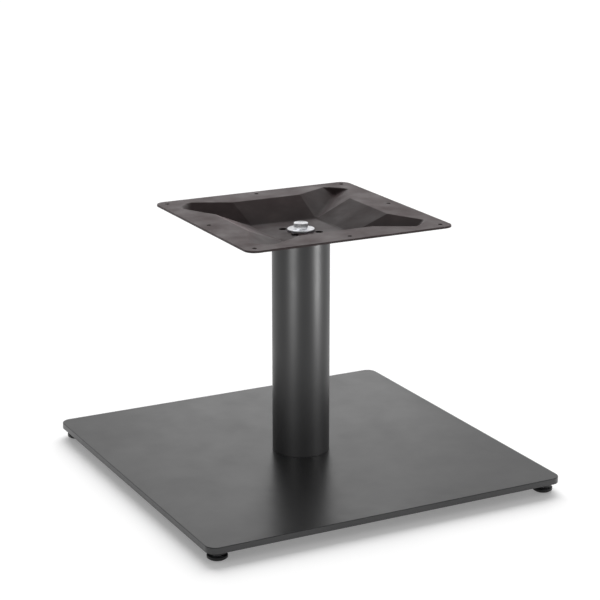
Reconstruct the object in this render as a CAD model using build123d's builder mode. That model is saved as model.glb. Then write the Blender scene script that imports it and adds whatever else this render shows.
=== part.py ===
from build123d import *
from math import cos, hypot, radians, tan
import os

# Round column table base: a flat square foot plate, one round column and a
# pressed top pan that a table top is screwed to. Sizes are in millimetres, the
# floor is at height 0 and the column stands on the Z axis.

# Foot plate
plate_side = 500.0
plate_thick = 8.0
plate_corner_r = 14.0
plate_edge_r = 1.0
floor_gap = 13.0

# Column tube and the two tapped discs welded into its ends
column_d = 76.0
column_wall = 2.5
column_length = 298.0
column_edge = 0.4
disc_thick = 12.0
disc_gap = 0.1
disc_edge = 1.0
ring_inset = 20.5
ring_tap_d = 8.0
thread_gap = 0.05
thread_end = 1.0

# Bolt and washer that clamp the pan to the column
bolt_d = 12.0
bolt_length = 28.0
bolt_hole_d = 13.0
bolt_head_af = 18.0
bolt_head_h = 7.5
bolt_head_slope = 30.0
washer_d = 36.0
washer_thick = 3.0
washer_edge = 0.4

# Countersunk screws that hold the column to the foot plate
screw_length = 18.0
screw_head_d = 16.0
screw_head_angle = 90.0
screw_hole_d = 8.6
screw_rim = 0.2
screw_gap = 0.25
socket_af = 5.0
socket_depth = 3.0

# Pressed top pan
pan_side = 290.0
pan_corner_r = 14.0
pan_edge_r = 0.6
pan_sheet = 2.5
pan_depth = 22.0
pan_flange = 45.0
shoulder_share = 0.5
floor_margin = 9.0
flute_past = 19.1
flute_end_width = 35.4
flute_end_slope = 58.0
floor_bend_r = 8.0
flute_bend_r = 8.0
ridge_bend_r = 2.5
mouth_bend_r = 2.5
ridge_rise = 0.8
ridge_count = 8
pan_ring_hole_d = 10.5
pan_hole_d = 6.0
pan_hole_inset = 14.0

# Levelling feet: welded boss, threaded stud with a spanner collar, moulded pad
foot_inset = 18.0
boss_d = 24.0
boss_h = 5.0
boss_edge = 0.6
tap_depth = 6.5
stud_d = 8.0
stud_gap = 0.1
stud_reach = 11.3
collar_af = 14.0
collar_h = 2.2
collar_gap = 0.3
pad_d = 25.5
pad_sole_d = 20.0
pad_bevel_h = 2.0
pad_edge = 0.6
pad_play = 0.2
neck_d = 7.0
neck_h = 1.4
heel_d = 12.0
heel_h = 1.6

# Heights that follow from the sizes above
plate_under = floor_gap
plate_top = plate_under + plate_thick
column_top = plate_top + column_length
pan_floor_top = column_top + pan_sheet
pan_top = pan_floor_top + pan_depth
washer_top = pan_floor_top + washer_thick
boss_under = plate_under - boss_h
collar_top = boss_under - collar_gap
collar_under = collar_top - collar_h
pad_top = collar_under - pad_play
heel_top = collar_under - neck_h
heel_under = heel_top - heel_h

# Plan sizes that follow: the feet keep to the plate's corners, the screw ring and
# the pan's floor keep to the column, the pan's mouth and holes keep to its rim
diagonal = cos(radians(45))
foot_pitch = plate_side - 2 * foot_inset
ring_pitch = column_d - 2 * ring_inset
pan_mouth = pan_side - 2 * pan_flange
pan_shoulder = pan_mouth * shoulder_share
pan_floor = column_d + 2 * floor_margin
pan_hole_pitch = pan_side - 2 * pan_hole_inset
flute_reach = pan_mouth * diagonal + flute_past

# Places that repeat
corners = [(sx, sy) for sx in (-1, 1) for sy in (-1, 1)]
foot_spots = [(sx * foot_pitch / 2, sy * foot_pitch / 2) for sx, sy in corners]
ring_spots = [(sx * ring_pitch / 2, sy * ring_pitch / 2) for sx, sy in corners]

os.makedirs("parts", exist_ok=True)


def side_view(x, y):
    """The upright plane through a vertical axis at x, y: its Y is the height."""
    return Plane(origin=(x, y, 0), x_dir=(1, 0, 0), z_dir=(0, -1, 0))


def upright(x, y):
    return Axis((x, y, 0), (0, 0, 1))


def wall_plane(first, second, third, inside):
    """The plane of a wall through three points, facing away from the inside point."""
    normal = (second - first).cross(third - first)
    if normal.dot(inside - first) > 0:
        normal = normal * -1
    return Plane(origin=first, x_dir=second - first, z_dir=normal)


def tall_edges(pan):
    """The edges that climb nearly the pan's full depth, lowest first: its ridges."""
    climbs = pan.edges().filter_by(lambda edge: edge.bounding_box().size.Z > pan_depth * ridge_rise)
    return climbs.sort_by(Axis.Z)


def pressed_form(skin):
    """The hollow pressed into the pan, with every wall moved outwards by skin."""
    depth = pan_depth + skin
    wall_run = (pan_mouth - pan_floor) / 2
    mouth = pan_mouth + 2 * skin * hypot(wall_run, pan_depth) / pan_depth
    bottom = mouth - 2 * depth * wall_run / pan_depth

    # The corner flute is a V between two walls that start at the mouth's shoulders
    # and pass through the floor's corner, closed by a steep end wall.
    reach = flute_reach * diagonal
    half_end = flute_end_width / 2 * diagonal
    shoulder_a = Vector(pan_shoulder / 2, pan_mouth / 2, pan_top)
    shoulder_b = Vector(pan_mouth / 2, pan_shoulder / 2, pan_top)
    end_a = Vector(reach - half_end, reach + half_end, pan_top)
    end_b = Vector(reach + half_end, reach - half_end, pan_top)
    floor_corner = Vector(pan_floor / 2, pan_floor / 2, pan_floor_top)
    inside = Vector(reach / 2, reach / 2, pan_top)
    end_fall = Vector(-diagonal, -diagonal, -tan(radians(flute_end_slope)))
    walls = (
        wall_plane(shoulder_a, end_a, floor_corner, inside),
        wall_plane(shoulder_b, end_b, floor_corner, inside),
        wall_plane(end_a, end_b, end_a + end_fall, inside),
    )
    with BuildPart() as flute:
        with BuildSketch(Plane.XY.offset(pan_top - depth)):
            Rectangle(pan_side / 2, pan_side / 2, align=(Align.MIN, Align.MIN))
        extrude(amount=depth)
        for wall in walls:
            split(bisect_by=wall.offset(skin), keep=Keep.BOTTOM)
        valley_end = Vector(reach, reach, pan_top - pan_depth / 2)
        fillet(flute.edges().sort_by_distance(valley_end)[:3], flute_bend_r + skin)

    with BuildPart() as form:
        with BuildSketch(Plane.XY.offset(pan_top - depth)):
            Rectangle(bottom, bottom)
        with BuildSketch(Plane.XY.offset(pan_top)):
            Rectangle(mouth, mouth)
        loft(ruled=True)
        fillet(form.faces().sort_by(Axis.Z)[0].edges(), floor_bend_r + skin)
        with PolarLocations(0, 4):
            add(flute.part)
    return form.part


# Foot plate with its countersunk screw holes and the four blind taps for the feet
with BuildPart() as base_plate:
    with BuildSketch(Plane.XY.offset(plate_under)):
        RectangleRounded(plate_side, plate_side, plate_corner_r)
    extrude(amount=plate_thick)
    fillet(base_plate.faces().sort_by(Axis.Z)[-1].edges(), plate_edge_r)
    with Locations(Location((0, 0, plate_under), (180, 0, 0))):
        with GridLocations(ring_pitch, ring_pitch, 2, 2):
            CounterSinkHole(
                radius=screw_hole_d / 2,
                counter_sink_radius=screw_head_d / 2 + screw_gap,
                counter_sink_angle=screw_head_angle,
            )
    with BuildSketch(Plane.XY.offset(plate_under)):
        with Locations(foot_spots):
            Circle(stud_d / 2 + stud_gap)
    extrude(amount=tap_depth, mode=Mode.SUBTRACT)
base_plate.part.label = "base_plate"
export_step(base_plate.part, "parts/base_plate.step")

# Column tube, squared off at both ends
with BuildPart() as column_tube:
    with BuildSketch(Plane.XY.offset(plate_top)):
        Circle(column_d / 2)
        Circle(column_d / 2 - column_wall, mode=Mode.SUBTRACT)
    extrude(amount=column_length)
    chamfer(column_tube.edges().filter_by(GeomType.CIRCLE), column_edge)
column_tube.part.label = "column_tube"
export_step(column_tube.part, "parts/column_tube.step")

# The same tapped disc sits flush in both ends of the tube
for disc_name, disc_base in (("foot_disc", plate_top), ("head_disc", column_top - disc_thick)):
    with BuildPart() as disc:
        with BuildSketch(Plane.XY.offset(disc_base)):
            Circle(column_d / 2 - column_wall - disc_gap)
        extrude(amount=disc_thick)
        chamfer(disc.edges().filter_by(GeomType.CIRCLE), disc_edge)
        with BuildSketch(Plane.XY.offset(disc_base)):
            Circle(bolt_d / 2 + thread_gap)
            with Locations(ring_spots):
                Circle(ring_tap_d / 2 + thread_gap)
        extrude(amount=disc_thick, mode=Mode.SUBTRACT)
    disc.part.label = disc_name
    export_step(disc.part, f"parts/{disc_name}.step")

# Pressed pan: the sheet follows the hollow, so its outer form is the hollow grown
# by the sheet, and every fold has a bend radius on both sides
with BuildPart() as top_pan:
    with BuildSketch(Plane.XY.offset(pan_top - pan_sheet)):
        RectangleRounded(pan_side, pan_side, pan_corner_r)
    extrude(amount=pan_sheet)
    add(pressed_form(pan_sheet))
    add(pressed_form(0), mode=Mode.SUBTRACT)
    fillet(tall_edges(top_pan)[ridge_count:], ridge_bend_r + pan_sheet)
    fillet(tall_edges(top_pan)[:ridge_count], ridge_bend_r)
    flange_top = top_pan.faces().filter_by(Plane.XY).sort_by(Axis.Z)[-1]
    fillet(flange_top.inner_wires()[0].edges(), mouth_bend_r + pan_sheet)
    flange_top = top_pan.faces().filter_by(Plane.XY).sort_by(Axis.Z)[-1]
    fillet(flange_top.outer_wire().edges(), pan_edge_r)
    flange_under = top_pan.faces().filter_by(Plane.XY).sort_by(Axis.Z)[-2]
    fillet(flange_under.inner_wires()[0].edges(), mouth_bend_r)
    with BuildSketch(Plane.XY.offset(column_top)):
        Circle(bolt_hole_d / 2)
        with Locations(ring_spots):
            Circle(pan_ring_hole_d / 2)
        with GridLocations(pan_hole_pitch, pan_hole_pitch, 2, 2):
            Circle(pan_hole_d / 2)
        with PolarLocations(pan_hole_pitch / 2, 4):
            Circle(pan_hole_d / 2)
    extrude(amount=pan_top - column_top, mode=Mode.SUBTRACT)
top_pan.part.label = "top_pan"
export_step(top_pan.part, "parts/top_pan.step")

# Plain washer under the bolt's head
with BuildPart() as pan_washer:
    with BuildSketch(Plane.XY.offset(pan_floor_top)):
        Circle(washer_d / 2)
        Circle(bolt_hole_d / 2, mode=Mode.SUBTRACT)
    extrude(amount=washer_thick)
    rims = pan_washer.edges().filter_by(GeomType.CIRCLE).sort_by(SortBy.RADIUS)[-2:]
    chamfer(rims, washer_edge)
pan_washer.part.label = "pan_washer"
export_step(pan_washer.part, "parts/pan_washer.step")

# Hexagon bolt: the cone that trims the head's corners touches its top flat
with BuildPart() as pan_bolt:
    with BuildSketch(Plane.XY.offset(washer_top)):
        RegularPolygon(bolt_head_af / 2, 6, major_radius=False)
    extrude(amount=bolt_head_h)
    with BuildSketch(side_view(0, 0)):
        with BuildLine():
            corner_fall = bolt_head_af * tan(radians(bolt_head_slope)) / 2
            Polyline(
                (0, washer_top),
                (bolt_head_af, washer_top),
                (bolt_head_af, washer_top + bolt_head_h - corner_fall),
                (bolt_head_af / 2, washer_top + bolt_head_h),
                (0, washer_top + bolt_head_h),
                close=True,
            )
        make_face()
    revolve(axis=Axis.Z, mode=Mode.INTERSECT)
    with BuildSketch(Plane.XY.offset(washer_top)):
        Circle(bolt_d / 2)
    extrude(amount=-bolt_length)
    chamfer(pan_bolt.edges().sort_by(Axis.Z)[0], thread_end)
pan_bolt.part.label = "pan_bolt"
export_step(pan_bolt.part, "parts/pan_bolt.step")

# Countersunk socket screws, flush with the underside of the foot plate
for number, (x, y) in enumerate(ring_spots, start=1):
    head_r = screw_head_d / 2
    shank_r = ring_tap_d / 2
    cone_top = plate_under + screw_rim + (head_r - shank_r) / tan(radians(screw_head_angle / 2))
    with BuildPart() as base_screw:
        with BuildSketch(side_view(x, y)):
            with BuildLine():
                Polyline(
                    (0, plate_under),
                    (head_r, plate_under),
                    (head_r, plate_under + screw_rim),
                    (shank_r, cone_top),
                    (shank_r, plate_under + screw_length - thread_end),
                    (shank_r - thread_end, plate_under + screw_length),
                    (0, plate_under + screw_length),
                    close=True,
                )
            make_face()
        revolve(axis=upright(x, y))
        with BuildSketch(Plane.XY.offset(plate_under)):
            with Locations((x, y)):
                RegularPolygon(socket_af / 2, 6, major_radius=False)
        extrude(amount=socket_depth, mode=Mode.SUBTRACT)
    base_screw.part.label = f"base_screw_{number}"
    export_step(base_screw.part, f"parts/base_screw_{number}.step")

# Levelling feet, one under each corner of the plate
for number, (x, y) in enumerate(foot_spots, start=1):
    with BuildPart() as foot_boss:
        with BuildSketch(Plane.XY.offset(boss_under)):
            with Locations((x, y)):
                Circle(boss_d / 2)
        extrude(amount=boss_h)
        chamfer(foot_boss.edges().sort_by(Axis.Z)[0], boss_edge)
        with BuildSketch(Plane.XY.offset(boss_under)):
            with Locations((x, y)):
                Circle(stud_d / 2 + stud_gap)
        extrude(amount=boss_h, mode=Mode.SUBTRACT)
    foot_boss.part.label = f"foot_boss_{number}"
    export_step(foot_boss.part, f"parts/foot_boss_{number}.step")

    with BuildPart() as foot_stud:
        with BuildSketch(side_view(x, y)):
            with BuildLine():
                Polyline(
                    (0, heel_under),
                    (heel_d / 2, heel_under),
                    (heel_d / 2, heel_top),
                    (neck_d / 2, heel_top),
                    (neck_d / 2, collar_under),
                    (stud_d / 2, collar_under),
                    (stud_d / 2, collar_top + stud_reach - thread_end),
                    (stud_d / 2 - thread_end, collar_top + stud_reach),
                    (0, collar_top + stud_reach),
                    close=True,
                )
            make_face()
        revolve(axis=upright(x, y))
        with BuildSketch(Plane.XY.offset(collar_under)):
            with Locations((x, y)):
                RegularPolygon(collar_af / 2, 6, major_radius=False)
        extrude(amount=collar_h)
    foot_stud.part.label = f"foot_stud_{number}"
    export_step(foot_stud.part, f"parts/foot_stud_{number}.step")

    with BuildPart() as foot_pad:
        with BuildSketch(side_view(x, y)):
            with BuildLine():
                Polyline(
                    (0, 0),
                    (pad_sole_d / 2, 0),
                    (pad_d / 2, pad_bevel_h),
                    (pad_d / 2, pad_top),
                    (neck_d / 2 + pad_play, pad_top),
                    (neck_d / 2 + pad_play, heel_top + pad_play),
                    (heel_d / 2 + pad_play, heel_top + pad_play),
                    (heel_d / 2 + pad_play, heel_under - pad_play),
                    (0, heel_under - pad_play),
                    close=True,
                )
            make_face()
        revolve(axis=upright(x, y))
        rim = foot_pad.edges().filter_by(GeomType.CIRCLE).group_by(SortBy.RADIUS)[-1]
        chamfer(rim.sort_by(Axis.Z)[-1], pad_edge)
    foot_pad.part.label = f"foot_pad_{number}"
    export_step(foot_pad.part, f"parts/foot_pad_{number}.step")
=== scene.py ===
import math

import bmesh
import bpy
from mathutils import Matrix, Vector


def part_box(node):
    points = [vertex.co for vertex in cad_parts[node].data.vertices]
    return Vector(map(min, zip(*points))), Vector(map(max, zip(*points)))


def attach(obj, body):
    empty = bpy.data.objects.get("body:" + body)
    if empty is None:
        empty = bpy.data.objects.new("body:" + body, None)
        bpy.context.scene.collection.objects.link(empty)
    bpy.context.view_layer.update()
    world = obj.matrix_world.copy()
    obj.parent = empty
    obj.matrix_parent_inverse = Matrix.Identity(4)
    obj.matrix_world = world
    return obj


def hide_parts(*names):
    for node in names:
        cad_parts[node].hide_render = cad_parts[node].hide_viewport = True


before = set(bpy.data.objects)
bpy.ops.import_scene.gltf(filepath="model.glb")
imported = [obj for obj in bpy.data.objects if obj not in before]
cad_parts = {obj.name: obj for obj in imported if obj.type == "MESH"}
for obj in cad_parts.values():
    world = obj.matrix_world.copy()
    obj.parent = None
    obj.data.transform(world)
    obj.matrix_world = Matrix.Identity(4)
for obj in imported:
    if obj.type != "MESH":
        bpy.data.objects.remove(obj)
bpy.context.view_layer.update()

MM = 0.001
FEET = (1, 2, 3, 4)
WHITE = (1, 1, 1, 1)

# Camera of the picture, a long lens from the front left: lens in mm, place in metres, else degrees
LENS = 111.6
SENSOR = 36.0
CAMERA_PLACE = (-1.080, -2.081, 0.909)
CAMERA_TURN = -27.40
CAMERA_DROP = 16.21

# Points closer than this are merged, in a mesh and in a geometry tree, and shorter edges are
# dissolved, all in metres
MESH_MERGE = 1e-7
TREE_MERGE = 1e-6
SHORTEST_EDGE = 1e-8

# Edges stay crisp where faces meet at more than these angles, in degrees
TURNED_CREASE = 40
HEXAGON_CREASE = 26
PACKED_CREASE = 32

# How finely round shapes are divided
ROUND_SIDES = 96
EASE_STEPS = 5
TRIM_STEPS = 4

# Column tube, mm
TUBE_R = 38.0
TUBE_BORE_R = 35.5
TUBE_EASE = 0.4
TUBE_SIDES = 192

# Washer and hexagon bolt, mm, where the dish's mouth and floor are shares of the head's face,
# the slope is in degrees, and sides and rows are counted for one turn of the thread
WASHER_R = 18.0
WASHER_BORE_R = 6.5
WASHER_PUNCHED_EASE = 0.7
WASHER_BACK_EASE = 0.25
BOLT_FLATS = 18.0
BOLT_FACE_H = 0.4
BOLT_DISH = 0.25
BOLT_DISH_MOUTH = 0.86
BOLT_DISH_FLOOR = 0.78
BOLT_SLOPE = 30.0
BOLT_R = 6.0
BOLT_ROOT_R = 5.0
BOLT_PITCH = 1.75
BOLT_SIDES = 60
BOLT_ROWS = 12

# Threads: shares of the flank's width where the root ends and the crest starts
THREAD_ROOT_END = 0.12
THREAD_CREST_START = 0.88

# Levelling feet, mm, with slope, sides and rows as for the bolt
STUD_R = 4.0
STUD_ROOT_R = 3.3
STUD_PITCH = 1.25
STUD_CHAMFER = 1.0
STUD_SIDES = 48
STUD_ROWS = 10
STUD_NECK_R = 3.5
STUD_NECK_H = 1.4
STUD_HEEL_R = 6.0
STUD_HEEL_H = 1.6
COLLAR_FLATS = 14.0
COLLAR_H = 2.2
COLLAR_SLOPE = 20.0
PAD_SOLE_R = 10.0
PAD_SOLE_EASE = 0.3
PAD_BEVEL_H = 2.0
PAD_BEVEL_EASE = 0.5
PAD_RIM_EASE = 0.7
PAD_MOUTH_EASE = 0.3
PAD_PLAY = 0.2
BOSS_BORE_R = 4.1
BOSS_BORE_EASE = 0.3
BOSS_EDGE_EASE = 0.6

# Groove in a pad's sole, mm: radius and height of its corners
PAD_GROOVE = ((5.6, 0), (5.9, 0.4), (7.1, 0.4), (7.4, 0))

# Weld beads: radius in mm, ripples round the boss, shares of the bead's radius, how far a ripple
# lags behind in radians, and the points along and across
BEAD_R = 1.1
BEAD_RIPPLES = 46.0
BEAD_RIPPLE_SHARE = 0.09
BEAD_SINK_SHARE = 0.2
BEAD_LAG = 1.2
BEAD_ALONG = 277
BEAD_ACROSS = 17


# Meshes

def mesh_piece(name, mesh, crease):
    """An object for a mesh, with outward faces and smooth shading up to the crease angle."""
    shape = bmesh.new()
    shape.from_mesh(mesh)
    bmesh.ops.remove_doubles(shape, verts=shape.verts, dist=MESH_MERGE)
    bmesh.ops.dissolve_degenerate(shape, dist=SHORTEST_EDGE, edges=shape.edges)
    bmesh.ops.recalc_face_normals(shape, faces=shape.faces)
    shape.to_mesh(mesh)
    shape.free()
    mesh.shade_smooth()
    mesh.set_sharp_from_angle(angle=math.radians(crease))
    piece = bpy.data.objects.new(name, mesh)
    bpy.context.collection.objects.link(piece)
    return piece


def round_ring(height, radius, sides=ROUND_SIDES):
    """A ring of a skin that has one height and one radius."""
    return height, [radius] * sides


def raised(rings, lift):
    """The same rings, higher by a lift in mm."""
    result = []
    for heights, radii in rings:
        if isinstance(heights, list):
            result.append(([height + lift for height in heights], radii))
        else:
            result.append((heights + lift, radii))
    return result


def skin_mesh(name, rings, place, closed=False):
    """A skin over rings in mm: each is a height, or a list of heights, and a list of radii."""
    points = []
    faces = []
    sides = len(rings[0][1])
    for heights, radii in rings:
        for step, radius in enumerate(radii):
            turn = 2 * math.pi * step / sides
            height = heights[step] if isinstance(heights, list) else heights
            points.append((
                place[0] + radius * MM * math.cos(turn),
                place[1] + radius * MM * math.sin(turn),
                place[2] + height * MM,
            ))
    last = len(rings) if closed else len(rings) - 1
    for row in range(last):
        lower = row * sides
        upper = (row + 1) % len(rings) * sides
        for step in range(sides):
            after = (step + 1) % sides
            faces.append((lower + step, lower + after, upper + after, upper + step))
    mesh = bpy.data.meshes.new(name)
    mesh.from_pydata(points, [], faces)
    return mesh


def eased(corners):
    """An outline of (radius, height) through corners that are each rounded by their ease."""
    result = []
    for index, (radius, height, ease) in enumerate(corners):
        if not ease:
            result.append((radius, height))
            continue
        here = Vector((radius, height))
        back = (Vector(corners[index - 1][:2]) - here).normalized()
        onward = (Vector(corners[(index + 1) % len(corners)][:2]) - here).normalized()
        half = back.angle(onward) / 2
        reach = ease / math.tan(half)
        middle = here + (back + onward).normalized() * ease / math.sin(half)
        start = here + back * reach - middle
        sweep = start.angle_signed(here + onward * reach - middle)
        for step in range(EASE_STEPS + 1):
            turn = -sweep * step / EASE_STEPS
            spun = Vector((
                start.x * math.cos(turn) - start.y * math.sin(turn),
                start.x * math.sin(turn) + start.y * math.cos(turn),
            ))
            result.append(tuple(middle + spun))
    return result


def turned_mesh(name, corners, place, sides=ROUND_SIDES, closed=True):
    """A turned part: its eased outline goes once round the axis."""
    rings = [round_ring(height, radius, sides) for radius, height in eased(corners)]
    return skin_mesh(name, rings, place, closed)


def hexagon_radii(flats):
    """Radii of a hexagon across its flats, one for each step round it."""
    radii = []
    for step in range(ROUND_SIDES):
        off_flat = (2 * math.pi * step / ROUND_SIDES) % (math.pi / 3) - math.pi / 6
        radii.append(flats / 2 / math.cos(off_flat))
    return radii


def hexagon_head_rings(flats, height, slope, both_ends):
    """Rings of a hexagon whose corners are trimmed by a cone at the top, or at both ends."""
    face_r = flats / 2
    full = hexagon_radii(flats)
    falls = [(radius - face_r) * math.tan(math.radians(slope)) for radius in full]
    bottom = falls if both_ends else [0.0] * ROUND_SIDES
    parts = [step / TRIM_STEPS for step in range(1, TRIM_STEPS + 1)]

    def widened(part):
        return [face_r + (radius - face_r) * part for radius in full]

    rings = [round_ring(0.0, face_r)]
    for part in parts:
        rings.append(([low * part for low in bottom], widened(part)))
    for part in reversed(parts):
        rings.append(([height - fall * part for fall in falls], widened(part)))
    rings.append(round_ring(height, face_r))
    return rings


def joined_mesh(name, meshes):
    """One mesh out of several that ride on the same body."""
    shape = bmesh.new()
    for mesh in meshes:
        shape.from_mesh(mesh)
    whole = bpy.data.meshes.new(name)
    shape.to_mesh(whole)
    shape.free()
    for mesh in meshes:
        bpy.data.meshes.remove(mesh)
    return whole


# Nodes of every kind of tree

def add(tree, kind, inputs=None, **settings):
    """A new node, whose inputs are fed by numbers or by the sockets of other nodes."""
    node = tree.nodes.new(kind)
    for key, value in settings.items():
        setattr(node, key, value)
    for key, term in (inputs or {}).items():
        if isinstance(term, bpy.types.NodeSocket):
            tree.links.new(term, node.inputs[key])
        else:
            node.inputs[key].default_value = term
    return node


def maths(tree, operation, *terms):
    """The result of a Math node on sockets and numbers."""
    return add(tree, "ShaderNodeMath", dict(enumerate(terms)), operation=operation).outputs[0]


def mapped(tree, value, start, end, low, high, way="LINEAR"):
    """Low up to the start of a value's range, high from its end, and a ramp between."""
    inputs = {"Value": value, "From Min": start, "From Max": end, "To Min": low, "To Max": high}
    return add(tree, "ShaderNodeMapRange", inputs, interpolation_type=way).outputs["Result"]


# Geometry node trees

class Tree:
    """A geometry tree with named inputs, and a hand for wiring its nodes."""

    def __init__(self, name, inputs):
        self.group = bpy.data.node_groups.new(name, "GeometryNodeTree")
        self.inputs = {}
        for key, kind in inputs.items():
            socket = self.group.interface.new_socket(
                key, in_out="INPUT", socket_type=f"NodeSocket{kind}")
            self.inputs[key] = socket.identifier
        self.group.interface.new_socket(
            "Geometry", in_out="OUTPUT", socket_type="NodeSocketGeometry")
        self.given = self.group.nodes.new("NodeGroupInput")
        self.result = self.group.nodes.new("NodeGroupOutput")

    def add(self, kind, inputs=None, **settings):
        return add(self.group, kind, inputs, **settings)

    def maths(self, operation, *terms):
        return maths(self.group, operation, *terms)

    def unit_grid(self, columns, rows):
        """A grid of 1 by 1 that is to be bent, and its two coordinates from -0.5 to 0.5."""
        grid = self.add("GeometryNodeMeshGrid", {
            "Size X": 1.0,
            "Size Y": 1.0,
            "Vertices X": columns,
            "Vertices Y": rows,
        })
        spot = self.add("GeometryNodeInputPosition")
        split = self.add("ShaderNodeSeparateXYZ", {0: spot.outputs[0]})
        return grid, split.outputs["X"], split.outputs["Y"]

    def bend(self, grid, radius, turn, height):
        """Bends a grid round the axis, in mm, closes it at its place and ends the tree."""
        spot = self.add("ShaderNodeCombineXYZ", {
            "X": self.maths("MULTIPLY", radius, self.maths("COSINE", turn)),
            "Y": self.maths("MULTIPLY", radius, self.maths("SINE", turn)),
            "Z": height,
        })
        real_size = self.add(
            "ShaderNodeVectorMath", {0: spot.outputs[0], "Scale": MM}, operation="SCALE")
        moved = self.add(
            "ShaderNodeVectorMath",
            {0: real_size.outputs[0], 1: self.given.outputs["Place"]},
            operation="ADD",
        )
        bent = self.add("GeometryNodeSetPosition", {
            "Geometry": grid.outputs["Mesh"],
            "Position": moved.outputs[0],
        })
        closed = self.add("GeometryNodeMergeByDistance", {
            "Geometry": bent.outputs[0],
            "Distance": TREE_MERGE,
        })
        real = self.add("GeometryNodeRealizeInstances", {"Geometry": closed.outputs["Geometry"]})
        finish = self.add("GeometryNodeSetMaterial", {
            "Geometry": real.outputs["Geometry"],
            "Material": self.given.outputs["Finish"],
        })
        self.group.links.new(finish.outputs["Geometry"], self.result.inputs["Geometry"])


def thread_tree():
    """A closed threaded shank that stands on its place and points up."""
    tree = Tree("threaded shank", {
        "Crest Radius": "Float",
        "Root Radius": "Float",
        "Pitch": "Float",
        "Length": "Float",
        "End Chamfer": "Float",
        "Sides": "Int",
        "Rows Per Turn": "Int",
        "Place": "Vector",
        "Finish": "Material",
    })
    given = tree.given.outputs
    turns = tree.maths("DIVIDE", given["Length"], given["Pitch"])
    rows = tree.maths("CEIL", tree.maths("MULTIPLY", turns, given["Rows Per Turn"]))
    grid, across, up = tree.unit_grid(tree.maths("ADD", given["Sides"], 1.0), rows)
    round_share = tree.maths("ADD", across, 0.5)
    up_share = tree.maths("ADD", up, 0.5)
    height = tree.maths("MULTIPLY", up_share, given["Length"])

    # The crest climbs one pitch in each turn, with a narrow flat on crest and root
    climb = tree.maths("SUBTRACT", tree.maths("DIVIDE", height, given["Pitch"]), round_share)
    doubled = tree.maths("MULTIPLY", tree.maths("FRACT", climb), 2.0)
    ridge = tree.maths("ABSOLUTE", tree.maths("SUBTRACT", doubled, 1.0))
    flank = mapped(tree.group, ridge, THREAD_ROOT_END, THREAD_CREST_START, 0.0, 1.0)
    depth = tree.maths("SUBTRACT", given["Crest Radius"], given["Root Radius"])
    wound = tree.maths("MULTIPLY_ADD", flank, depth, given["Root Radius"])

    # A cone trims the free end, and the first and last rows close on the axis
    left = tree.maths("SUBTRACT", given["Length"], height)
    short = tree.maths("SUBTRACT", given["End Chamfer"], left)
    cone = tree.maths("SUBTRACT", given["Crest Radius"], tree.maths("MAXIMUM", short, 0.0))
    trimmed = tree.maths("MINIMUM", wound, cone)
    half_row = tree.maths("DIVIDE", 0.5, rows)
    above_first = tree.maths("GREATER_THAN", up_share, half_row)
    below_last = tree.maths("LESS_THAN", up_share, tree.maths("SUBTRACT", 1.0, half_row))
    inside = tree.maths("MULTIPLY", above_first, below_last)
    radius = tree.maths("MULTIPLY", trimmed, inside)
    tree.bend(grid, radius, tree.maths("MULTIPLY", round_share, 2 * math.pi), height)
    return tree


def bead_tree():
    """A weld bead: a rippled ring laid in the corner round a boss."""
    tree = Tree("weld bead", {
        "Ring Radius": "Float",
        "Bead Radius": "Float",
        "Ripples": "Float",
        "Ripple Share": "Float",
        "Place": "Vector",
        "Finish": "Material",
    })
    given = tree.given.outputs
    grid, along, across = tree.unit_grid(BEAD_ALONG, BEAD_ACROSS)
    turn = tree.maths("MULTIPLY", tree.maths("ADD", along, 0.5), 2 * math.pi)
    roll = tree.maths("MULTIPLY", across, 2 * math.pi)

    # Each ripple is a crescent, so it lags behind towards the bead's sides
    lag = tree.maths("MULTIPLY", tree.maths("COSINE", roll), BEAD_LAG)
    phase = tree.maths("ADD", tree.maths("MULTIPLY", turn, given["Ripples"]), lag)
    swell = tree.maths("MULTIPLY_ADD", tree.maths("SINE", phase), given["Ripple Share"], 1.0)
    thick = tree.maths("MULTIPLY", given["Bead Radius"], swell)
    out = tree.maths("MULTIPLY_ADD", thick, tree.maths("COSINE", roll), given["Ring Radius"])
    tree.bend(grid, out, turn, tree.maths("MULTIPLY", thick, tree.maths("SINE", roll)))
    return tree


def crisp_corner_tree():
    """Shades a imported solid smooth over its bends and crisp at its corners."""
    tree = Tree("crisp corners", {"Geometry": "Geometry"})
    merged = tree.add("GeometryNodeMergeByDistance", {
        "Geometry": tree.given.outputs["Geometry"],
        "Distance": TREE_MERGE,
    })
    smooth = tree.add("GeometryNodeSetShadeSmooth", {"Geometry": merged.outputs[0]})
    angle = tree.add("GeometryNodeInputMeshEdgeAngle").outputs["Unsigned Angle"]
    sharp = tree.add(
        "FunctionNodeCompare", {0: angle, 1: math.radians(PACKED_CREASE)}, operation="GREATER_THAN")
    crisp = tree.add("GeometryNodeSetShadeSmooth", {
        "Geometry": smooth.outputs[0],
        "Selection": sharp.outputs[0],
        "Shade Smooth": False,
    }, domain="EDGE")
    tree.group.links.new(crisp.outputs[0], tree.result.inputs["Geometry"])
    return tree


def grown_mesh(tree, **values):
    """The plain mesh that a tree gives for these inputs."""
    seed = bpy.data.meshes.new("seed")
    holder = bpy.data.objects.new("holder", seed)
    bpy.context.collection.objects.link(holder)
    grower = holder.modifiers.new("grower", "NODES")
    grower.node_group = tree.group
    for name, value in values.items():
        grower[tree.inputs[name.replace("_", " ")]] = value
    graph = bpy.context.evaluated_depsgraph_get()
    mesh = bpy.data.meshes.new_from_object(holder.evaluated_get(graph))
    holder.modifiers.remove(grower)
    bpy.data.objects.remove(holder)
    bpy.data.meshes.remove(seed)
    return mesh


# Materials

# The part of a noise's range over which the roughness changes
NOISE_LOW = 0.3
NOISE_HIGH = 0.7
MARK_WANDER = 0.6
MARK_DETAIL = 2.0


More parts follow.
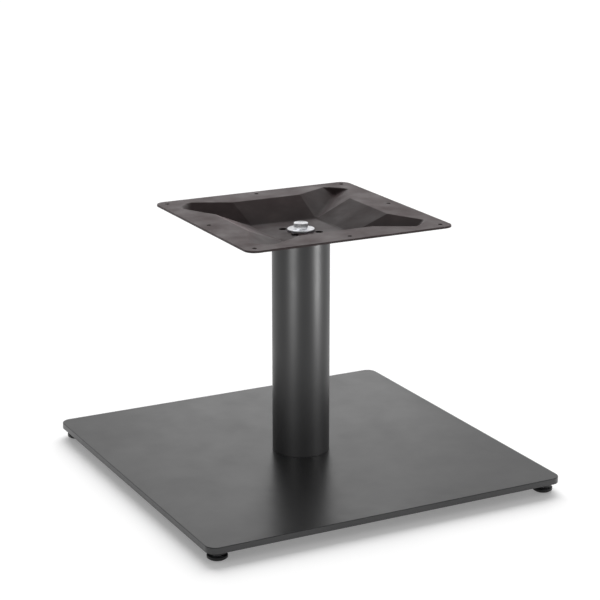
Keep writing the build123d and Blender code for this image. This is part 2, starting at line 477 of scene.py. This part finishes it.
class Finish:
    """A surface finish made of shader nodes on the piece's own coordinates."""

    def __init__(self, name, **sockets):
        self.material = bpy.data.materials.new(name)
        self.material.use_nodes = True
        self.tree = self.material.node_tree
        self.shader = self.tree.nodes["Principled BSDF"]
        for key, value in sockets.items():
            self.shader.inputs[key.replace("_", " ")].default_value = value
        self.place = add(self.tree, "ShaderNodeTexCoord").outputs["Object"]

    def noise(self, scale, detail=3.0, roughness=0.55):
        inputs = {"Vector": self.place, "Scale": scale, "Detail": detail, "Roughness": roughness}
        return add(self.tree, "ShaderNodeTexNoise", inputs).outputs["Fac"]

    def cells(self, scale):
        inputs = {"Vector": self.place, "Scale": scale}
        return add(self.tree, "ShaderNodeTexVoronoi", inputs).outputs["Distance"]

    def turning_marks(self, scale):
        """Fine rings round the upright axis through the middle of the base."""
        marks = add(self.tree, "ShaderNodeTexWave", {
            "Vector": self.place,
            "Scale": scale,
            "Distortion": MARK_WANDER,
            "Detail": MARK_DETAIL,
        }, wave_type="RINGS", rings_direction="Z")
        return marks.outputs["Fac"]

    def colour(self, value, stops):
        """The base colour along a value: each stop is a place from 0 to 1 and a colour."""
        node = add(self.tree, "ShaderNodeValToRGB", {"Fac": value})
        ramp = node.color_ramp
        while len(ramp.elements) < len(stops):
            ramp.elements.new(0.5)
        for element, (place, shade) in zip(ramp.elements, stops):
            element.position = place
            element.color = (*shade, 1.0)
        self.tree.links.new(node.outputs["Color"], self.shader.inputs["Base Color"])

    def rough(self, value, smoothest, roughest):
        """The roughness along a noise."""
        band = mapped(self.tree, value, NOISE_LOW, NOISE_HIGH, smoothest, roughest)
        self.tree.links.new(band, self.shader.inputs["Roughness"])

    def relief(self, *layers):
        """Bumps on bumps: each layer is a value, its depth in mm and its strength."""
        normal = None
        for value, depth, strength in layers:
            inputs = {"Height": value, "Distance": depth * MM, "Strength": strength}
            if normal:
                inputs["Normal"] = normal
            normal = add(self.tree, "ShaderNodeBump", inputs).outputs["Normal"]
        self.tree.links.new(normal, self.shader.inputs["Normal"])


def satin_coat(name, dark, light, smoothest, roughest):
    """Satin powder coat: an even charcoal with a fine flow texture."""
    finish = Finish(name, IOR=1.5)
    finish.colour(finish.noise(scale=7.0, detail=2.0), [(0.35, dark), (0.65, light)])
    finish.rough(finish.noise(scale=24.0, detail=4.0), smoothest, roughest)
    flow = finish.noise(scale=420.0, detail=2.0)
    grain = finish.noise(scale=1500.0, detail=1.0)
    finish.relief((flow, 0.012, 0.6), (grain, 0.003, 0.5))
    return finish.material


def pan_coat():
    """The pan's coat is duller than the plate's: a warm grey with a soft mottle."""
    finish = Finish(
        "pan coat",
        IOR=1.44,
        Sheen_Weight=0.11,
        Sheen_Roughness=0.4,
        Sheen_Tint=(1.0, 0.58, 0.60, 1.0),
    )
    finish.colour(finish.noise(scale=38.0, detail=5.0, roughness=0.62), [
        (0.32, (0.008, 0.004, 0.004)),
        (0.55, (0.013, 0.008, 0.008)),
        (0.70, (0.020, 0.013, 0.013)),
    ])
    finish.rough(finish.noise(scale=30.0, detail=4.0), 0.42, 0.58)
    flow = finish.noise(scale=330.0, detail=3.0)
    grain = finish.noise(scale=1200.0, detail=1.0)
    finish.relief((flow, 0.02, 0.7), (grain, 0.005, 0.5))
    return finish.material


def zinc_plate():
    """Bright zinc plating on the bolt, washer, screws and studs."""
    finish = Finish("zinc plate", Metallic=1.0)
    finish.colour(finish.noise(scale=160.0, detail=4.0), [
        (0.3, (0.52, 0.53, 0.55)),
        (0.5, (0.66, 0.67, 0.69)),
        (0.7, (0.74, 0.75, 0.76)),
    ])
    finish.rough(finish.noise(scale=240.0, detail=3.0), 0.26, 0.42)
    finish.relief((finish.noise(scale=900.0, detail=2.0), 0.006, 0.5))
    return finish.material


def turned_steel():
    """Bare steel faced on a lathe, with a grey oily film."""
    finish = Finish("turned steel", Metallic=1.0)
    finish.colour(finish.noise(scale=60.0, detail=4.0), [
        (0.3, (0.20, 0.195, 0.19)),
        (0.7, (0.34, 0.335, 0.33)),
    ])
    finish.rough(finish.noise(scale=120.0, detail=3.0), 0.34, 0.5)
    finish.relief((finish.turning_marks(scale=900.0), 0.01, 0.5))
    return finish.material


def moulded_pad():
    """Black moulded plastic with a fine spark grain."""
    finish = Finish("moulded pad", IOR=1.46)
    finish.colour(finish.noise(scale=90.0, detail=3.0), [
        (0.3, (0.010, 0.010, 0.011)),
        (0.7, (0.020, 0.020, 0.021)),
    ])
    finish.rough(finish.noise(scale=200.0, detail=3.0), 0.42, 0.56)
    finish.relief((finish.cells(scale=1600.0), 0.01, 0.5))
    return finish.material


plate_finish = satin_coat(
    "plate coat",
    dark=(0.017, 0.017, 0.0175),
    light=(0.020, 0.020, 0.0205),
    smoothest=0.31,
    roughest=0.36,
)
column_finish = satin_coat(
    "column coat",
    dark=(0.013, 0.013, 0.0135),
    light=(0.016, 0.016, 0.0165),
    smoothest=0.38,
    roughest=0.43,
)
pan_finish = pan_coat()
zinc_finish = zinc_plate()
steel_finish = turned_steel()
pad_finish = moulded_pad()


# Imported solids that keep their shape

crisp_corners = crisp_corner_tree().group


def dress(node_name, finish):
    """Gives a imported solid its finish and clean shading."""
    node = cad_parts[node_name]
    if node.material_slots:
        for slot in node.material_slots:
            slot.material = finish
    else:
        node.data.materials.append(finish)
    shading = node.modifiers.new("crisp corners", "NODES")
    shading.node_group = crisp_corners
    weighted = node.modifiers.new("even faces", "WEIGHTED_NORMAL")
    weighted.keep_sharp = True


dress("base_plate", plate_finish)
dress("top_pan", pan_finish)
dress("foot_disc", steel_finish)
dress("head_disc", steel_finish)
for number in FEET:
    dress(f"base_screw_{number}", zinc_finish)


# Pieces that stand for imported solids

def finished(piece, finish, node_name, body):
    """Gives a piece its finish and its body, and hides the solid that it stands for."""
    piece.data.materials.clear()
    piece.data.materials.append(finish)
    for face in piece.data.polygons:
        face.material_index = 0
    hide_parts(node_name)
    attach(piece, body)


def centre_of(node_name):
    """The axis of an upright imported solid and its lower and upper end."""
    low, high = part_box(node_name)
    return (low[0] + high[0]) / 2, (low[1] + high[1]) / 2, low[2], high[2]


def column():
    x, y, low, high = centre_of("column_tube")
    length = (high - low) / MM
    mesh = turned_mesh("column", [
        (TUBE_BORE_R, 0, TUBE_EASE),
        (TUBE_R, 0, TUBE_EASE),
        (TUBE_R, length, TUBE_EASE),
        (TUBE_BORE_R, length, TUBE_EASE),
    ], (x, y, low), TUBE_SIDES)
    piece = mesh_piece("column", mesh, TURNED_CREASE)
    finished(piece, column_finish, "column_tube", "root")


def washer():
    x, y, low, high = centre_of("pan_washer")
    thick = (high - low) / MM
    mesh = turned_mesh("washer", [
        (WASHER_BORE_R, 0, WASHER_BACK_EASE),
        (WASHER_R, 0, WASHER_BACK_EASE),
        (WASHER_R, thick, WASHER_PUNCHED_EASE),
        (WASHER_BORE_R, thick, WASHER_PUNCHED_EASE),
    ], (x, y, low))
    piece = mesh_piece("washer", mesh, TURNED_CREASE)
    finished(piece, zinc_finish, "pan_washer", "root")


def bolt(threads):
    x, y, low, high = centre_of("pan_bolt")
    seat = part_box("pan_washer")[1][2]
    head_h = (high - seat) / MM
    face_r = BOLT_FLATS / 2
    hexagon = hexagon_head_rings(BOLT_FLATS, head_h - BOLT_FACE_H, BOLT_SLOPE, both_ends=False)
    head = skin_mesh("bolt head", [
        round_ring(0.0, 0.0),
        round_ring(0.0, face_r),
        *raised(hexagon, BOLT_FACE_H),
        round_ring(head_h, face_r * BOLT_DISH_MOUTH),
        round_ring(head_h - BOLT_DISH, face_r * BOLT_DISH_FLOOR),
        round_ring(head_h - BOLT_DISH, 0.0),
    ], (x, y, seat))
    shank = grown_mesh(
        threads,
        Crest_Radius=BOLT_R,
        Root_Radius=BOLT_ROOT_R,
        Pitch=BOLT_PITCH,
        Length=(seat - low) / MM,
        End_Chamfer=0.0,
        Sides=BOLT_SIDES,
        Rows_Per_Turn=BOLT_ROWS,
        Place=(x, y, low),
        Finish=zinc_finish,
    )
    piece = mesh_piece("bolt", joined_mesh("bolt", [head, shank]), HEXAGON_CREASE)
    finished(piece, zinc_finish, "pan_bolt", "root")


def stud(number, threads):
    node_name = f"foot_stud_{number}"
    x, y, low, high = centre_of(node_name)
    collar_low = STUD_HEEL_H + STUD_NECK_H
    collar_high = collar_low + COLLAR_H
    collar = hexagon_head_rings(COLLAR_FLATS, COLLAR_H, COLLAR_SLOPE, both_ends=True)
    foot = skin_mesh("stud foot", [
        round_ring(0.0, 0.0),
        round_ring(0.0, STUD_HEEL_R),
        round_ring(STUD_HEEL_H, STUD_HEEL_R),
        round_ring(STUD_HEEL_H, STUD_NECK_R),
        round_ring(collar_low, STUD_NECK_R),
        *raised(collar, collar_low),
        round_ring(collar_high, 0.0),
    ], (x, y, low))
    shank = grown_mesh(
        threads,
        Crest_Radius=STUD_R,
        Root_Radius=STUD_ROOT_R,
        Pitch=STUD_PITCH,
        Length=(high - low) / MM - collar_high,
        End_Chamfer=STUD_CHAMFER,
        Sides=STUD_SIDES,
        Rows_Per_Turn=STUD_ROWS,
        Place=(x, y, low + collar_high * MM),
        Finish=zinc_finish,
    )
    mesh = joined_mesh(f"stud_{number}", [foot, shank])
    piece = mesh_piece(f"stud_{number}", mesh, HEXAGON_CREASE)
    finished(piece, zinc_finish, node_name, f"stud_{number}")


def pad(number):
    node_name = f"foot_pad_{number}"
    x, y, low, high = centre_of(node_name)
    wide = (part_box(node_name)[1][0] - x) / MM
    top = (high - low) / MM
    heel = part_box(f"foot_stud_{number}")[0][2] / MM
    heel_top = heel + STUD_HEEL_H
    mesh = turned_mesh(f"pad_{number}", [
        (0, 0, 0),
        *((radius, height, 0) for radius, height in PAD_GROOVE),
        (PAD_SOLE_R, 0, PAD_SOLE_EASE),
        (wide, PAD_BEVEL_H, PAD_BEVEL_EASE),
        (wide, top, PAD_RIM_EASE),
        (STUD_NECK_R + PAD_PLAY, top, PAD_MOUTH_EASE),
        (STUD_NECK_R + PAD_PLAY, heel_top + PAD_PLAY, 0),
        (STUD_HEEL_R + PAD_PLAY, heel_top + PAD_PLAY, 0),
        (STUD_HEEL_R + PAD_PLAY, heel - PAD_PLAY, 0),
        (0, heel - PAD_PLAY, 0),
    ], (x, y, low), closed=False)
    piece = mesh_piece(f"pad_{number}", mesh, TURNED_CREASE)
    finished(piece, pad_finish, node_name, f"foot_{number}")


def boss(number, beads):
    node_name = f"foot_boss_{number}"
    x, y, low, high = centre_of(node_name)
    wide = (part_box(node_name)[1][0] - x) / MM
    tall = (high - low) / MM
    body = turned_mesh("boss body", [
        (BOSS_BORE_R, 0, BOSS_BORE_EASE),
        (wide, 0, BOSS_EDGE_EASE),
        (wide, tall, 0),
        (BOSS_BORE_R, tall, 0),
    ], (x, y, low))
    bead = grown_mesh(
        beads,
        Ring_Radius=wide,
        Bead_Radius=BEAD_R,
        Ripples=BEAD_RIPPLES,
        Ripple_Share=BEAD_RIPPLE_SHARE,
        Place=(x, y, high - BEAD_SINK_SHARE * BEAD_R * MM),
        Finish=plate_finish,
    )
    mesh = joined_mesh(f"boss_{number}", [body, bead])
    piece = mesh_piece(f"boss_{number}", mesh, TURNED_CREASE)
    finished(piece, plate_finish, node_name, "root")


thread_maker = thread_tree()
bead_maker = bead_tree()
column()
washer()
bolt(thread_maker)
for number in FEET:
    boss(number, bead_maker)
    stud(number, thread_maker)
    pad(number)


# White floor that keeps the shadow: how far it reaches each way is in metres

FLOOR_SHADE = (0.8, 0.8, 0.8, 1)
FLOOR_GLOW = 0.24
FLOOR_REACH = 12


def seen_share(tree):
    """1 for what the eye, a gloss or a glass sees, 0 for the light that falls on things."""
    path = add(tree, "ShaderNodeLightPath").outputs
    eye_or_gloss = maths(tree, "MAXIMUM", path["Is Camera Ray"], path["Is Glossy Ray"])
    return maths(tree, "MAXIMUM", eye_or_gloss, path["Is Transmission Ray"])


def floor_finish():
    """Matt white, with a glow where it is seen."""
    material = bpy.data.materials.new("white floor")
    material.use_nodes = True
    tree = material.node_tree
    tree.nodes.clear()
    matt = add(tree, "ShaderNodeBsdfDiffuse", {"Color": FLOOR_SHADE})
    strength = maths(tree, "MULTIPLY", seen_share(tree), FLOOR_GLOW)
    glow = add(tree, "ShaderNodeEmission", {"Strength": strength})
    both = add(tree, "ShaderNodeAddShader", {0: matt.outputs[0], 1: glow.outputs[0]})
    add(tree, "ShaderNodeOutputMaterial", {"Surface": both.outputs[0]})
    return material


floor_mesh = bpy.data.meshes.new("floor")
floor_corners = [
    (-FLOOR_REACH, -FLOOR_REACH, 0),
    (FLOOR_REACH, -FLOOR_REACH, 0),
    (FLOOR_REACH, FLOOR_REACH, 0),
    (-FLOOR_REACH, FLOOR_REACH, 0),
]
floor_mesh.from_pydata(floor_corners, [], [(0, 1, 2, 3)])
floor_mesh.materials.append(floor_finish())
floor = bpy.data.objects.new("floor", floor_mesh)
bpy.context.collection.objects.link(floor)


# World: where it is seen, a white backdrop with a dim ceiling and dim sides, else plain grey light

WORLD_LIGHT = 0.30
BACKDROP_TOP = 0.48
CEILING_FROM = 0.80
CEILING_LEVEL = 0.12
BACKDROP_WAY = (0.46, 0.888, 0.0)
BACKDROP_FROM = 0.75
SIDES_FROM = 0.1
SIDES_LEVEL = 0.30


def studio_world():
    """A world that the camera sees white, gloss sees graded, and all else gets light from."""
    world = bpy.data.worlds.new("studio")
    world.use_nodes = True
    tree = world.node_tree
    tree.nodes.clear()
    looking = add(tree, "ShaderNodeTexCoord").outputs["Generated"]
    upward = add(tree, "ShaderNodeSeparateXYZ", {0: looking}).outputs["Z"]
    rearward = add(
        tree, "ShaderNodeVectorMath", {0: looking, 1: BACKDROP_WAY}, operation="DOT_PRODUCT")
    backdrop = mapped(
        tree, upward, BACKDROP_TOP, CEILING_FROM, 1.0, CEILING_LEVEL, way="SMOOTHSTEP")
    sides = mapped(
        tree, rearward.outputs["Value"], SIDES_FROM, BACKDROP_FROM, SIDES_LEVEL, 1.0,
        way="SMOOTHSTEP")
    graded = maths(tree, "MULTIPLY", backdrop, sides)
    eye = add(tree, "ShaderNodeLightPath").outputs["Is Camera Ray"]
    strength = maths(tree, "MAXIMUM", graded, eye)
    seen = add(tree, "ShaderNodeBackground", {"Color": WHITE, "Strength": strength})
    lit = add(tree, "ShaderNodeBackground", {"Color": WHITE, "Strength": WORLD_LIGHT})
    mix = add(tree, "ShaderNodeMixShader", {
        "Fac": seen_share(tree),
        1: lit.outputs[0],
        2: seen.outputs[0],
    })
    add(tree, "ShaderNodeOutputWorld", {"Surface": mix.outputs[0]})
    return world


bpy.context.scene.world = studio_world()


# Lamps: sizes and places are in metres and the spread is in degrees

LOW_SUN_STRENGTH = 4.5
LOW_SUN_SPREAD = 58
LOW_SUN_PLACE = (0.95, 1.72, 1.20)
OVERHEAD_SIZE = 2.0
OVERHEAD_RADIANCE = 1.9
OVERHEAD_PLACE = (0.3, 0.5, 2.1)
OVERHEAD_AIM = (0, 0, 0.2)


def lamp_object(name, data, place, target):
    """A lamp at a place, turned to its target, that the camera doesn't see."""
    lamp = bpy.data.objects.new(name, data)
    bpy.context.collection.objects.link(lamp)
    lamp.location = place
    aim = Vector(target) - Vector(place)
    lamp.rotation_euler = aim.to_track_quat("-Z", "Y").to_euler()
    lamp.visible_camera = False
    return lamp


def softbox(name, width, height, radiance, place, target):
    """An even rectangle of light, whose radiance of 1 is white."""
    data = bpy.data.lights.new(name, "AREA")
    data.shape = "RECTANGLE"
    data.size = width
    data.size_y = height
    data.energy = radiance * math.pi * width * height
    return lamp_object(name, data, place, target)


def linked_group(name, state, *pieces):
    """A light linking group that takes these pieces in, or leaves them out."""
    group = bpy.data.collections.new(name)
    for piece in pieces:
        group.objects.link(piece)
    for member in group.collection_objects:
        member.light_linking.link_state = state
    return group


column_piece = bpy.data.objects["column"]
bolt_piece = bpy.data.objects["bolt"]
washer_piece = bpy.data.objects["washer"]
foot_kinds = ("stud", "pad", "boss")
foot_pieces = [bpy.data.objects[f"{kind}_{number}"] for kind in foot_kinds for number in FEET]

# A low light from behind lays the soft shadow on the floor towards the camera
low_sun_data = bpy.data.lights.new("low back light", "SUN")
low_sun_data.energy = LOW_SUN_STRENGTH
low_sun_data.angle = math.radians(LOW_SUN_SPREAD)
low_sun = lamp_object("low back light", low_sun_data, LOW_SUN_PLACE, (0, 0, 0))
low_sun.visible_glossy = False
low_sun.light_linking.receiver_collection = linked_group("floor alone", "INCLUDE", floor)
low_sun.light_linking.blocker_collection = linked_group(
    "base alone", "EXCLUDE", column_piece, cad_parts["top_pan"])

overhead = softbox(
    "overhead softbox", OVERHEAD_SIZE, OVERHEAD_SIZE, OVERHEAD_RADIANCE, OVERHEAD_PLACE, OVERHEAD_AIM)
overhead.visible_glossy = False
overhead.light_linking.receiver_collection = linked_group("all but the floor", "EXCLUDE", floor)

column_alone = linked_group("column alone", "INCLUDE", column_piece)
bolt_alone = linked_group("bolt and washer", "INCLUDE", bolt_piece, washer_piece)
steel_alone = linked_group("plate and pan", "EXCLUDE", column_piece, floor, *foot_pieces)

# Softboxes round the base. In metres: distance from the axis, height, the box's width and
# height, and the height it is aimed at. Else: degrees off the camera, radiance and group
SOFTBOXES = (
    ("left strip", 30.0, 1.25, 0.10, 0.50, 0.18, 24.0, 0.20, column_alone),
    ("right strip", -66.0, 1.25, 0.10, 0.34, 0.18, 50.0, 0.20, column_alone),
    ("back softbox", 179.0, 2.40, 0.80, 0.80, 0.80, 0.65, 0.05, steel_alone),
    ("front right softbox", -50.0, 2.40, 0.35, 1.00, 0.50, 38.0, 0.05, steel_alone),
    ("front left softbox", 50.0, 2.40, 0.35, 1.00, 0.50, 16.0, 0.05, steel_alone),
    ("left bolt softbox", 62.0, 1.20, 0.56, 0.60, 0.26, 15.0, 0.33, bolt_alone),
    ("right bolt softbox", -56.0, 1.20, 0.56, 0.60, 0.26, 9.0, 0.33, bolt_alone),
)
for name, off_camera, away, height, wide, tall, radiance, aim_height, group in SOFTBOXES:
    turn = math.radians(CAMERA_TURN - off_camera)
    place = (away * math.sin(turn), -away * math.cos(turn), height)
    box = softbox(name, wide, tall, radiance, place, (0, 0, aim_height))
    box.light_linking.receiver_collection = group
    # A bright box in front would burn out in the plate's gloss, seen from the far side
    box.visible_glossy = not name.startswith("front")


# Camera

camera_data = bpy.data.cameras.new("camera")
camera_data.lens = LENS
camera_data.sensor_width = SENSOR
camera = bpy.data.objects.new("camera", camera_data)
bpy.context.collection.objects.link(camera)
camera.location = CAMERA_PLACE
camera.rotation_euler = (math.radians(90 - CAMERA_DROP), 0, math.radians(CAMERA_TURN))
bpy.context.scene.camera = camera
bpy.context.scene.view_settings.view_transform = "Standard"
